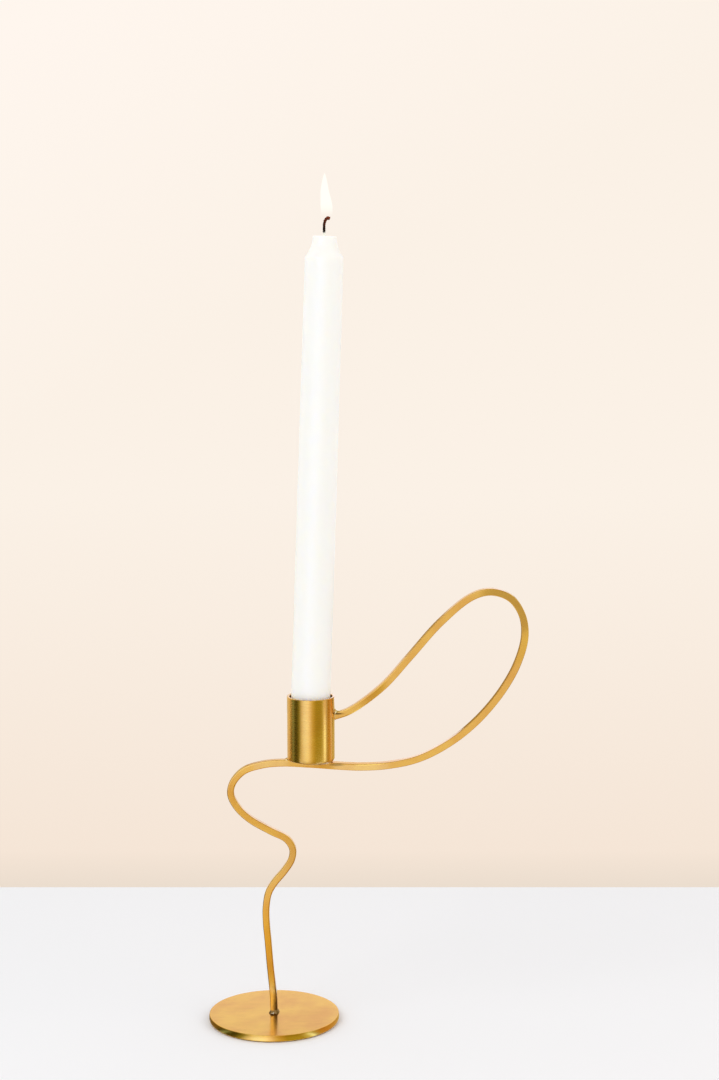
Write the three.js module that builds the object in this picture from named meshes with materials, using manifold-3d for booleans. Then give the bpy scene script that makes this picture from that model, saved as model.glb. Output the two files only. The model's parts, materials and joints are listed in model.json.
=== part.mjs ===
// Taper candle holder.
// One square brass bar rises from a round base, doubles back in an S, runs under a cup for a taper
// candle and sweeps round an open loop to the cup's wall, where its end is brazed.
// Millimetres, +Z up. The origin is the centre of the underside, and the loop opens towards +X.

import * as THREE from 'three';
import { mergeVertices } from 'three/addons/utils/BufferGeometryUtils.js';
import Module from 'manifold-3d';

const wasm = await Module();
wasm.setup();

// Base plate and its pad
const baseDiameter = 74;
const baseThickness = 3.5;
const baseEdgeBevel = 0.3;
const padThickness = 0.6;
const padInset = 2.5; // from the plate's edge to the pad's

// Bar
const barSide = 3.9;
const barArris = 0.55; // radius of the four long edges
const footTwistDegrees = 5; // the foot is turned a little, and is straight again higher up
const footTwistLength = 28;
const spigotDiameter = 3.2; // round end that stands in the plate's hole
const spigotPlay = 0.3; // all round

// Cup
const cupAxisOffset = 21.4; // from the plate's axis to the cup's
const cupWall = 1.35;
const cupFloorThickness = 1.2; // at its thin side, on the left
const cupRimAboveBarEnd = 11.6;
const cupLipBevel = 0.25;
const seatRise = 0.35; // least gap between the bar's top and the cup's underside
const socketPlay = 2; // bore less candle diameter

// Candle
const candleDiameter = 22;
const candleTaper = 0.9; // how much narrower the shoulder is
const candleTipDiameter = 12.2;
const candleFootDrawIn = 0.88; // how much narrower the foot is, to enter the socket
const candleFootLength = 38;
const candleLength = 288.4;
const crownLength = 11.5;
const topDishDepth = 0.8;
const topDishDiameter = 9;

// Wick
const wickDiameter = 1.4;
const wickRise = 9.6; // above the candle's top, to the curl's crest
const wickSway = 0.5; // to the left, before the curl
const wickCurl = 2.5; // to the right, the reach of the curled tip

// Brazing
const footBeadReach = 1.2; // beyond the bar's faces
const footBeadHeight = 1.2;
const seatFilletWidth = 1.4; // beyond each side of the bar, under the cup
const seatFilletDepth = 2.1; // below the cup's underside
const seatToeLength = 1.4; // beyond the cup's wall, on the bar
const seatToeHeight = 0.8; // up the cup's wall
const seatShortfall = 5; // the filling stops short of the cup's wall on the loop's side
const endFilletLength = 2.6; // along the bar, away from the cup's wall
const endFilletAbove = 3; // the film that climbs the cup's wall over the bar
const endFilletBelow = 1;
const endFilletSide = 1.6;

// Fits
const gap = 0.3; // between a piece and the one that is cut to it
const floorFit = 0.15; // cup floor in its tube, all round

// The bar's centreline, from the foot: x along the plate, z above its top face
const bends = [
  [0, 0],
  [-0.3, 9],
  [-1.1, 18],
  [-2.1, 28],
  [-3.2, 42],
  [-4.2, 54],
  [-4.2, 62.5],
  [-2.8, 70.5],
  [0.4, 76.3],
  [6.2, 83.4],
  [10.3, 90.2],
  [10.9, 96.2],
  [7.5, 101.8],
  [-1.4, 106.5],
  [-13.3, 113.5],
  [-20.3, 120.4],
  [-23.7, 127.6],
  [-22.6, 134.1],
  [-16.5, 141],
  [-6, 144.6],
  [5, 145.7],
  [21.2, 145],
  [35.5, 144.1],
  [49.2, 143.5],
  [64.5, 144.4],
  [81.9, 148.3],
  [99.7, 157.8],
  [114.2, 169.9],
  [127.5, 186],
  [136.3, 202],
  [140.4, 217.5],
  [138.9, 229.5],
  [132.5, 239],
  [122, 242.8],
  [111.2, 240.2],
  [93.9, 226],
  [76.2, 205.8],
  [61.3, 189.1],
  [43.2, 175.6],
];
const endSlopeDegrees = 20; // of the last run, down to the cup

// Worked-out places
const padTop = padThickness;
const plateTop = padTop + baseThickness;
const boreRadius = (candleDiameter + socketPlay) / 2;
const cupRadius = boreRadius + cupWall;
const candleFootRadius = (candleDiameter - candleFootDrawIn) / 2;
const radians = THREE.MathUtils.degToRad;

// Finishes
const brass = { color: '#c9993f', metalness: 1, roughness: 0.34 };
const finishes = {
  plate: { ...brass, roughness: 0.38 },
  bar: { ...brass, color: '#c79640' },
  cup: { ...brass, roughness: 0.28 },
  braze: { color: '#a9874f', metalness: 1, roughness: 0.5 },
  felt: { color: '#3b332c', metalness: 0, roughness: 1 },
  wax: { color: '#f7f6ee', metalness: 0, roughness: 0.45 },
  wick: { color: '#1c1512', metalness: 0, roughness: 0.95 },
};

function piece(name, geometry, finish) {
  const mesh = new THREE.Mesh(geometry, new THREE.MeshStandardMaterial(finishes[finish]));
  mesh.name = name;
  return mesh;
}

// Turned pieces: a profile of [radius, height] points, counter-clockwise, turned about Z
function turned(profile, segments) {
  const points = profile.map(([r, z]) => new THREE.Vector2(r, z));
  return new THREE.LatheGeometry(points, segments).rotateX(Math.PI / 2);
}

function turnedRing(profile, segments) {
  return turned([...profile, profile[0]], segments);
}

// Solids, for cutting one piece to another
function solidOf(geometry) {
  const plain = geometry.clone();
  plain.deleteAttribute('normal');
  plain.deleteAttribute('uv');
  const merged = mergeVertices(plain);
  return new wasm.Manifold(new wasm.Mesh({
    numProp: 3,
    vertProperties: new Float32Array(merged.attributes.position.array),
    triVerts: new Uint32Array(merged.index.array),
  }));
}

function geometryOf(solid) {
  const mesh = solid.getMesh();
  const geometry = new THREE.BufferGeometry();
  geometry.setAttribute('position', new THREE.BufferAttribute(mesh.vertProperties, 3));
  geometry.setIndex(new THREE.BufferAttribute(mesh.triVerts, 1));
  geometry.computeVertexNormals();
  return geometry;
}

// A square with rounded corners, as [across, depth] points
function roundedSquare(side, radius, steps) {
  const inset = side / 2 - radius;
  const points = [];
  for (const [k, sx, sy] of [[0, 1, 1], [1, -1, 1], [2, -1, -1], [3, 1, -1]]) {
    for (let i = 0; i <= steps; i += 1) {
      const angle = (k + i / steps) * Math.PI / 2;
      points.push([sx * inset + radius * Math.cos(angle), sy * inset + radius * Math.sin(angle)]);
    }
  }
  return points;
}

function circle(diameter, sides) {
  return Array.from({ length: sides }, (_, i) => {
    const angle = 2 * Math.PI * i / sides;
    return [diameter / 2 * Math.cos(angle), diameter / 2 * Math.sin(angle)];
  });
}

// Stations along a curve in the XZ plane, closer together where it bends
function stationsOn(curve, longestStep, largestTurn) {
  const fineStep = 0.4;
  const count = Math.ceil(curve.getLength() / fineStep);
  const stations = [];
  let last = null;
  for (let i = 0; i <= count; i += 1) {
    const tangent = curve.getTangentAt(i / count);
    const turn = last ? tangent.angleTo(last.tangent) : 0;
    const run = last ? (i - last.index) * fineStep : 0;
    if (!last || i === count || turn >= largestTurn || run >= longestStep) {
      last = { index: i, run: i * fineStep, point: curve.getPointAt(i / count), tangent };
      stations.push(last);
    }
  }
  return stations;
}

// A closed body swept through the stations: sectionAt gives the same number of points at each
function swept(stations, sectionAt) {
  const depthAxis = new THREE.Vector3(0, 1, 0);
  const positions = [];
  const index = [];
  const sides = sectionAt(stations[0]).length;
  for (const station of stations) {
    const across = new THREE.Vector3().crossVectors(depthAxis, station.tangent);
    for (const [a, d] of sectionAt(station)) {
      const p = station.point.clone().addScaledVector(across, a).addScaledVector(depthAxis, d);
      positions.push(p.x, p.y, p.z);
    }
  }
  for (let ring = 0; ring < stations.length - 1; ring += 1) {
    for (let j = 0; j < sides; j += 1) {
      const a = ring * sides + j;
      const b = ring * sides + (j + 1) % sides;
      index.push(a, b, b + sides, a, b + sides, a + sides);
    }
  }
  const end = (stations.length - 1) * sides;
  for (let j = 1; j < sides - 1; j += 1) {
    index.push(0, j + 1, j);
    index.push(end, end + j, end + j + 1);
  }
  const geometry = new THREE.BufferGeometry();
  geometry.setAttribute('position', new THREE.Float32BufferAttribute(positions, 3));
  geometry.setIndex(index);
  geometry.computeVertexNormals();
  return geometry;
}

// The bar's route, from the plate's top face to inside the cup's wall
const barRoute = (() => {
  const [lastX, lastZ] = bends.at(-1);
  const endX = cupAxisOffset + cupRadius - cupWall / 2;
  const endZ = lastZ - (lastX - endX) * Math.tan(radians(endSlopeDegrees));
  const points = [...bends, [endX, endZ]].map(([x, z]) => new THREE.Vector3(x, 0, plateTop + z));
  const curve = new THREE.CatmullRomCurve3(points, false, 'centripetal');
  const stations = stationsOn(curve, 8, radians(7));
  stations[0].tangent = new THREE.Vector3(0, 0, 1); // sawn square, to stand on the plate
  return stations;
})();

function twistAt(run) {
  const left = Math.max(0, 1 - run / footTwistLength);
  return -radians(footTwistDegrees) * left * left * (3 - 2 * left);
}

// The bar's outer shape, and the same shape grown by a clearance for cutting its neighbours
function barShape(growth) {
  const section = roundedSquare(barSide + 2 * growth, barArris + growth, 2);
  return swept(barRoute, ({ run }) => {
    const cos = Math.cos(twistAt(run));
    const sin = Math.sin(twistAt(run));
    return section.map(([a, d]) => [a * cos - d * sin, a * sin + d * cos]);
  });
}

// The cup's underside is filed to the bar's slope: its height under the cup's axis, and its slope
const seat = (() => {
  const tops = barRoute
    .filter(({ point, tangent }) => tangent.x > Math.SQRT1_2
      && Math.abs(point.x - cupAxisOffset) <= cupRadius + barSide / 2)
    .map(({ point, tangent }) => ({ x: point.x, z: point.z + barSide / 2 * tangent.x }));
  const first = tops[0];
  const last = tops.at(-1);
  const slope = (last.z - first.z) / (last.x - first.x);
  const levelled = tops.map(({ x, z }) => z - slope * (x - cupAxisOffset));
  return { slope, middle: Math.max(...levelled) + seatRise };
})();

function seatAt(x) {
  return seat.middle + seat.slope * (x - cupAxisOffset);
}

const barEnd = barRoute.at(-1).point;
const rimHeight = barEnd.z + cupRimAboveBarEnd;
const socketFloor = Math.max(seatAt(cupAxisOffset - boreRadius), seatAt(cupAxisOffset + boreRadius))
  + cupFloorThickness;
const seatLow = Math.min(seatAt(cupAxisOffset - cupRadius), seatAt(cupAxisOffset + cupRadius));

// What lies over the cup's slanting underside, lowered by a clearance
function overSeat(solid, clearance) {
  const normal = new THREE.Vector3(-seat.slope, 0, 1).normalize();
  const onPlane = new THREE.Vector3(cupAxisOffset, 0, seat.middle - clearance);
  return solid.trimByPlane(normal.toArray(), normal.dot(onPlane));
}

function upright(radius, low, high, segments) {
  return new THREE.CylinderGeometry(radius, radius, high - low, segments)
    .rotateX(Math.PI / 2).translate(0, 0, (low + high) / 2);
}

const roundSegments = 72;

// The space that the cup takes, with a clearance, for what is cut to its outside
function cupSpace() {
  const column = upright(cupRadius + gap, seatLow - barSide, rimHeight + barSide, roundSegments);
  return overSeat(solidOf(column.translate(cupAxisOffset, 0, 0)), gap);
}

function basePad() {
  const radius = baseDiameter / 2 - padInset;
  return turned([[0, 0], [radius, 0], [radius, padTop], [0, padTop]], roundSegments);
}

function baseDisc() {
  const radius = baseDiameter / 2;
  const hole = spigotDiameter / 2 + spigotPlay;
  return turnedRing([
    [hole, padTop],
    [radius - baseEdgeBevel, padTop],
    [radius, padTop + baseEdgeBevel],
    [radius, plateTop - baseEdgeBevel],
    [radius - baseEdgeBevel, plateTop],
    [hole, plateTop],
  ], roundSegments + 24);
}

function stemBar() {
  const spigot = solidOf(upright(spigotDiameter / 2, padTop + gap, plateTop + barSide, 24));
  return geometryOf(solidOf(barShape(0)).add(spigot).subtract(cupSpace()));
}

function footBraze() {
  const foot = barSide / 2 + footBeadReach;
  const bead = turnedRing([
    [barSide / 4, plateTop],
    [foot, plateTop],
    [foot - 0.15 * footBeadReach, plateTop + 0.45 * footBeadHeight],
    [foot - 0.5 * footBeadReach, plateTop + 0.85 * footBeadHeight],
    [barSide / 2, plateTop + footBeadHeight],
    [barSide / 4, plateTop + footBeadHeight],
  ], 32);
  return geometryOf(solidOf(bead).subtract(solidOf(barShape(gap))));
}

function cupTube() {
  const tube = turnedRing([
    [boreRadius, seatLow - barSide],
    [cupRadius, seatLow - barSide],
    [cupRadius, rimHeight - cupLipBevel],
    [cupRadius - cupLipBevel, rimHeight],
    [boreRadius + cupLipBevel, rimHeight],
    [boreRadius, rimHeight - cupLipBevel],
  ], roundSegments).translate(cupAxisOffset, 0, 0);
  return geometryOf(overSeat(solidOf(tube), 0));
}

function cupFloor() {
  const disc = upright(boreRadius - floorFit, seatLow - barSide, socketFloor, roundSegments);
  return geometryOf(overSeat(solidOf(disc.translate(cupAxisOffset, 0, 0)), 0));
}

// A saddle that fills between the bar and the cup's underside, with a toe on the bar outside the cup
function cupSeatBraze() {
  const left = cupAxisOffset - cupRadius;
  const right = cupAxisOffset + cupRadius - seatShortfall;
  const tip = right + seatFilletDepth / 2;
  const toe = left - seatToeLength;
  const outline = new THREE.Shape([
    new THREE.Vector2(toe, seatAt(toe) - seatFilletDepth),
    new THREE.Vector2(right, seatAt(right) - seatFilletDepth),
    new THREE.Vector2(tip, seatAt(tip)),
    new THREE.Vector2(left, seatAt(left) + seatToeHeight),
    new THREE.Vector2((left + toe) / 2, seatAt(left)),
    new THREE.Vector2(toe, seatAt(toe) - seatRise + 2 * gap),
  ]);
  const width = barSide + 2 * seatFilletWidth;
  const block = new THREE.ExtrudeGeometry(outline, { depth: width, bevelEnabled: false })
    .rotateX(Math.PI / 2).translate(0, width / 2, 0);
  return geometryOf(solidOf(block).subtract(cupSpace()).subtract(solidOf(barShape(gap))));
}

// A flared collar round the bar's end, on the cup's wall
function loopEndBraze() {
  const direction = new THREE.Vector3(-1, 0, -Math.tan(radians(endSlopeDegrees))).normalize();
  const steps = 6;
  const start = barEnd.clone().addScaledVector(direction, -endFilletLength - cupWall / 2);
  const run = endFilletLength + cupWall / 2;
  const stations = Array.from({ length: steps + 1 }, (_, i) => ({
    flare: (i / steps) ** 2,
    point: start.clone().addScaledVector(direction, run * i / steps),
    tangent: direction,
  }));
  const skin = 2 * gap;
  const section = roundedSquare(barSide, barArris, 3);
  const collar = swept(stations, ({ flare }) => section.map(([a, d]) => [
    a + (a > 0 ? skin + (endFilletAbove - skin) * flare : -skin - (endFilletBelow - skin) * flare),
    d + Math.sign(d) * (skin + (endFilletSide - skin) * flare),
  ]));
  return geometryOf(solidOf(collar).subtract(cupSpace()).subtract(solidOf(barShape(gap))));
}

// The candle leans because its narrower foot has slid to the left wall of the socket
const footPlay = boreRadius - candleFootRadius - gap;
const lean = Math.atan(footPlay / (rimHeight - socketFloor));
const rimToFoot = (rimHeight - socketFloor - gap - candleFootRadius * Math.sin(lean))
  / Math.cos(lean);

function candleWax() {
  const shoulder = (candleDiameter - candleTaper) / 2;
  const tip = candleTipDiameter / 2;
  const shoulderHeight = candleLength - crownLength;
  const bore = wickDiameter / 2 + gap;
  const crownSteps = 7;
  const crown = Array.from({ length: crownSteps + 1 }, (_, i) => {
    const left = 1 - i / crownSteps;
    return [tip + (shoulder - tip) * left * left, shoulderHeight + crownLength * (1 - left)];
  });
  return turnedRing([
    [bore, 0],
    [candleFootRadius, 0],
    [candleDiameter / 2, candleFootLength],
    ...crown,
    [topDishDiameter / 2, candleLength],
    [topDishDiameter / 4, candleLength - topDishDepth * 0.75],
    [bore, candleLength - topDishDepth],
  ], 56);
}

function wick() {
  const points = [
    [0, gap],
    [0, candleLength * 0.5],
    [0, candleLength - 8],
    [0, candleLength - topDishDepth],
    [-0.7 * wickSway, candleLength + wickRise * 0.15],
    [-wickSway, candleLength + wickRise * 0.4],
    [-wickSway, candleLength + wickRise * 0.62],
    [-0.4 * wickSway, candleLength + wickRise * 0.8],
    [0.2 * wickCurl, candleLength + wickRise * 0.94],
    [0.5 * wickCurl, candleLength + wickRise],
    [wickCurl, candleLength + wickRise * 0.97],
  ].map(([x, z]) => new THREE.Vector3(x, 0, z));
  const curve = new THREE.CatmullRomCurve3(points, false, 'centripetal');
  const section = circle(wickDiameter, 10);
  return swept(stationsOn(curve, 12, radians(12)), () => section);
}

function candle() {
  const group = new THREE.Group();
  group.position.set(cupAxisOffset, 0, rimHeight);
  group.rotation.y = lean;
  for (const mesh of [piece('candle_wax', candleWax(), 'wax'), piece('candle_wick', wick(), 'wick')]) {
    mesh.position.z = -rimToFoot;
    group.add(mesh);
  }
  return group;
}

const holder = new THREE.Group();
holder.add(
  piece('base_pad', basePad(), 'felt'),
  piece('base_plate', baseDisc(), 'plate'),
  piece('stem_bar', stemBar(), 'bar'),
  piece('foot_braze', footBraze(), 'braze'),
  piece('cup_tube', cupTube(), 'cup'),
  piece('cup_floor', cupFloor(), 'cup'),
  piece('cup_seat_braze', cupSeatBraze(), 'braze'),
  piece('loop_end_braze', loopEndBraze(), 'braze'),
  candle(),
);

console.log(`cup ${(2 * cupRadius).toFixed(2)} across, rim ${rimHeight.toFixed(2)}`);
console.log(`seat ${seat.middle.toFixed(2)} under the cup's axis, slope ${seat.slope.toFixed(4)}`);
console.log(`candle leans ${THREE.MathUtils.radToDeg(lean).toFixed(3)} degrees about the rim's centre`);
console.log(`candle axis ${Math.sin(lean).toFixed(5)}, 0, ${Math.cos(lean).toFixed(5)}`);

export default holder;
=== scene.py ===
"""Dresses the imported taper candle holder: the bent brass bar, its plate and cup, the brazing, the
candle with its wick and flame, and a plain pale studio round them."""

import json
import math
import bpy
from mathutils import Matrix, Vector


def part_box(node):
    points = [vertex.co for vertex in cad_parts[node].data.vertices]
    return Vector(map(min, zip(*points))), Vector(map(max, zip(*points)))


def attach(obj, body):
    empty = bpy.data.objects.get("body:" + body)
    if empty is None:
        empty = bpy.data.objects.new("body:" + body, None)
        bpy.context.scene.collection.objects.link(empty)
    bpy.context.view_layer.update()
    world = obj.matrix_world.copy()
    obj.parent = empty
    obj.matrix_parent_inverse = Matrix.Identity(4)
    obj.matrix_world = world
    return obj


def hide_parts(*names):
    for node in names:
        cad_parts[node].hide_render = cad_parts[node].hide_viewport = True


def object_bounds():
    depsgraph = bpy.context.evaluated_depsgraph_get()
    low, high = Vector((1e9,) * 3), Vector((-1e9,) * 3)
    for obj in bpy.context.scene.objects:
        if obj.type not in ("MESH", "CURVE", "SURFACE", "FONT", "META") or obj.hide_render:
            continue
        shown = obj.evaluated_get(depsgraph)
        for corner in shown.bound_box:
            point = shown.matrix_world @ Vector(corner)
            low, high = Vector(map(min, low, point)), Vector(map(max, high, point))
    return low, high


bl_info = {
    "name": "Taper Candle Holder",
    "version": (1, 0, 0),
    "blender": (4, 5, 0),
    "location": "3D View > Sidebar > Candle Holder",
    "description": "Makes a bent brass bar candle holder, its lit taper candle and a plain studio",
    "category": "Add Mesh",
}

import bpy
from mathutils import Matrix, Vector, noise

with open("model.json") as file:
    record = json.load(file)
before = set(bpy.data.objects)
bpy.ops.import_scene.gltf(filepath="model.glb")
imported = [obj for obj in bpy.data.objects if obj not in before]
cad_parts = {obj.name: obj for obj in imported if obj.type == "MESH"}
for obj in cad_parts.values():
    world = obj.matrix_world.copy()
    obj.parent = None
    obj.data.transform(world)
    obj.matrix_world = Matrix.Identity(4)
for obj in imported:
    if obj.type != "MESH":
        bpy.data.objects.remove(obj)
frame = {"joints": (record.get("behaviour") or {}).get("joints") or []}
cad_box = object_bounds()

MM = 0.001
PLATE_LOW, PLATE_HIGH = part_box("base_plate")
PAD_LOW, PAD_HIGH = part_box("base_pad")
CUP_LOW, CUP_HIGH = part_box("cup_tube")
FLOOR_LOW, FLOOR_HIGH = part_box("cup_floor")
WAX_LOW, WAX_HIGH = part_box("candle_wax")
WICK_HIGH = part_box("candle_wick")[1]
CUP_AXIS = (CUP_LOW + CUP_HIGH) / 2
CUP_RADIUS = (CUP_HIGH.x - CUP_LOW.x) / 2
SEAT_SLOPE = (FLOOR_LOW.z - CUP_LOW.z) / (FLOOR_HIGH.x - CUP_HIGH.x)  # of the cup's underside
LEAN = math.atan2(frame["joints"][0]["axis"][0], frame["joints"][0]["axis"][2])
STUDIO_REACH = 6  # metres from the holder to the ends of the table and the wall

# The bar's centreline from the foot, in millimetres, x along the plate and z above its top face,
# and how many degrees the bar is turned about it there
BENDS = (
    (0, 0, -5), (-0.3, 9, -4), (-1.1, 18, -1.5), (-2.1, 28, 0), (-3.2, 42, 0), (-4.2, 54, 0),
    (-4.2, 62.5, 0), (-2.8, 70.5, 0), (0.4, 76.3, 0), (6.2, 83.4, 0), (10.3, 90.2, 0),
    (10.9, 96.2, 0), (7.5, 101.8, 0), (-1.4, 106.5, 0), (-13.3, 113.5, 0), (-20.3, 120.4, 0),
    (-23.7, 127.6, 0), (-22.6, 134.1, 0), (-16.5, 141, 0), (-6, 144.6, 0), (5, 145.7, 0),
    (21.2, 145, 0), (35.5, 144.1, 6), (49.2, 143.5, 8), (64.5, 144.4, 5), (81.9, 148.3, 1),
    (99.7, 157.8, 2), (114.2, 169.9, 4), (127.5, 186, 4), (136.3, 202, 4), (140.4, 217.5, 4),
    (138.9, 229.5, 0), (132.5, 239, -2), (122, 242.8, -4), (111.2, 240.2, -4), (93.9, 226, -5),
    (76.2, 205.8, -5), (61.3, 189.1, -4), (43.2, 175.6, 0),
)
END_SLOPE = math.radians(20)  # of the bar's last run, down to the cup
ROUTE_STEPS = 16  # from one corner of a route to the next


def linear(hex_colour):
    """An sRGB hex colour as the linear red, green and blue that Blender's nodes take."""
    parts = [int(hex_colour[i:i + 2], 16) / 255 for i in (1, 3, 5)]
    return tuple(c / 12.92 if c <= 0.04045 else ((c + 0.055) / 1.055) ** 2.4 for c in parts)


def between(start, end, share):
    """What lies a share of the way from start to end."""
    return start + (end - start) * share


def seat_at(x):
    """Height of the cup's underside, which is filed to the bar's slope."""
    return CUP_LOW.z + SEAT_SLOPE * (x - CUP_HIGH.x)


def size(label, note, value, unit="LENGTH", **more):
    """A size that a user can change, in metres unless its unit says otherwise."""
    return bpy.props.FloatProperty(
        name=label, description=note, default=value, unit=unit, precision=5, **more)


def colour(label, note, hex_colour):
    """A colour that a user can change."""
    return bpy.props.FloatVectorProperty(
        name=label, description=note, default=linear(hex_colour), size=3, subtype="COLOR",
        min=0, max=1)


class HolderSizes(bpy.types.PropertyGroup):
    """Sizes of the brass holder"""

    bar_side: size("Bar side", "Width of the square bar", 3.9 * MM)
    bar_arris: size("Bar arris", "Radius of the bar's four long edges", 0.45 * MM)
    bar_wave: size("Bar waviness", "How far hand bending leaves the bar's faces out of true", 0.08 * MM)
    spigot: size("Spigot", "Diameter of the peg that stands in the plate", 3.2 * MM)
    plate_edge: size("Plate edge", "Radius of the plate's eased edges", 0.3 * MM)
    plate_belly: size("Plate belly", "How far the plate's turned edge swells at half height", 0.2 * MM)
    cup_wall: size("Cup wall", "Wall of the cup's tube", 1.35 * MM)
    cup_lip: size("Cup lip", "Radius of the cup's eased lips", 0.3 * MM)
    heel_width: size("Heel width", "Width of the bevel filed round the cup's foot", 1.15 * MM)
    heel_height: size("Heel height", "Height of the bevel filed round the cup's foot", 1.9 * MM)


class CandleSizes(bpy.types.PropertyGroup):
    """Sizes of the taper candle"""

    diameter: size("Diameter", "Candle's widest diameter", 22 * MM)
    shoulder: size("Shoulder", "Diameter under the crown", 21.1 * MM)
    foot: size("Foot", "Diameter at the very foot", 21.12 * MM)
    foot_length: size("Foot length", "Height at which the foot reaches full width", 38 * MM)
    tip: size("Tip", "Diameter of the crown's flat top", 13.2 * MM)
    crown: size("Crown", "Height of the hollow-sided crown", 11.5 * MM)
    pool: size("Melt pool", "Diameter of the shallow pool round the wick", 9 * MM)
    pool_depth: size("Pool depth", "Depth of the melt pool", 0.8 * MM)
    wick: size("Wick", "Diameter of the braided wick", 1.55 * MM)
    wick_rise: size("Wick rise", "Height of the wick's crest above the wax", 9.6 * MM)
    wick_curl: size("Wick curl", "Sideways reach of the wick's curled tip", 2.5 * MM)
    wick_sway: size("Wick sway", "How far the wick's stem leans the other way", 0.5 * MM)


class HolderFinishes(bpy.types.PropertyGroup):
    """Colours of the finishes"""

    brass: colour("Brass", "Clean yellow brass", "#f1bc47")
    brass_warm: colour("Warm brass", "Brass where the lacquer has deepened", "#e6a83c")
    # The plate's top takes lighter copies of the brass colours that its own edge keeps: painted light on
    # the face that looks up
    plate_brass: colour("Lit plate brass", "Clean sheet brass of the plate", "#f8cc4f")
    plate_warm_lit: colour("Lit warm plate", "Sheet brass where the lacquer has deepened", "#ebb145")
    # Also the colour of painted shade: up the foot's right side, along the crease at the bar's end, under
    # the cup's edge and round the cup's foot
    stain_and_shade_brown: colour("Heat stain and shade", "Brown oxide beside the brazing, also painted as shade", "#4a3310")
    brazing: colour("Brazing", "Filed brazing metal", "#f0c25c")
    # Painted highlight: the end fillet is drawn paler than the other brazing, for the bright line along
    # its hollow
    brazing_painted_highlight: colour("Pale brazing", "Brazing metal at the bar's end, painted pale as its highlight", "#f5dc9c")
    brazing_grey: colour("Grey brazing", "Silver-grey beads of brazing metal", "#d6c391")
    brazing_dark: colour("Dark brazing", "Brazing metal browned by the torch", "#7d5a26")
    felt: colour("Felt", "Glued felt under the plate", "#2e2824")
    wax: colour("Wax", "Ivory white paraffin wax", "#fefff8")
    wick_char: colour("Char", "Burnt cotton", "#1f140c")
    # Painted glow: the hot tip's red is put in its colour, not given off as light
    wick_ember_glow: colour("Ember", "Reddish brown tip of the burnt cotton", "#74331a")
    flame: colour("Flame", "Body of the flame", "#fffef4")


class StudioSettings(bpy.types.PropertyGroup):
    """The plain studio"""

    table: colour("Table", "Pale table top", "#f5f6fa")
    table_far: colour("Far table", "Table top past the lamps' reach", "#f6f5f4")
    # The wall's colours paint its light and shade: darker towards its foot, lightest at the top left
    wall_high: colour("Wall, high", "Cream wall over the candle", "#fbf1e6")
    wall_bright: colour("Wall, bright", "Cream wall at the top left, where it is lightest", "#fff6ee")
    wall_low: colour("Wall, low", "Cream wall just above its foot", "#f5e5d6")
    wall_foot: colour("Wall, foot", "Cream wall where it meets the table", "#ebddce")
    wall_distance: size("Wall distance", "From the plate's axis to the wall", 252 * MM)
    ambient: size("Ambient", "Strength of the even light from all round", 0.82, unit="NONE", min=0)
    key_power: size("Key power", "Power of the large lamp at the left, in watts", 6, unit="NONE", min=0)
    camera_height: size("Camera height", "Height of the camera over the table", 440.14 * MM)
    camera_back: size("Camera distance", "From the plate's axis back to the camera", 1176.27 * MM)
    camera_aside: size("Camera shift", "How far the camera stands to the right", 48.56 * MM)
    camera_tilt: size("Camera tilt", "How far the camera looks down", 0.13882, unit="ROTATION")
    lens: size("Lens", "Focal length on a 36 mm long side, in millimetres", 71.667, unit="NONE", min=1)


def add(tree, kind, inputs=None, **settings):
    """One node, its settings, and for each input a value or what feeds it: a socket, or a node, of
    which the first output in use is taken. A colour's value is red, green and blue."""
    node = tree.nodes.new(kind)
    for name, value in settings.items():
        setattr(node, name, value)
    for key, value in (inputs or {}).items():
        if isinstance(value, bpy.types.Node):
            value = next(socket for socket in value.outputs if socket.enabled)
        if isinstance(value, bpy.types.NodeSocket):
            tree.links.new(value, node.inputs[key])
        elif node.inputs[key].type == "RGBA":
            node.inputs[key].default_value = (*value, 1)
        else:
            node.inputs[key].default_value = value
    return node


def new_material(name):
    """A material without nodes, and its tree."""
    material = bpy.data.materials.new(name)
    material.use_nodes = True
    material.node_tree.nodes.clear()
    return material, material.node_tree


def surface(tree, kind, inputs):
    """Adds the shader that a material ends in and joins it to the material's output."""
    shader = add(tree, kind, inputs)
    add(tree, "ShaderNodeOutputMaterial", {"Surface": shader})
    return shader


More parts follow.
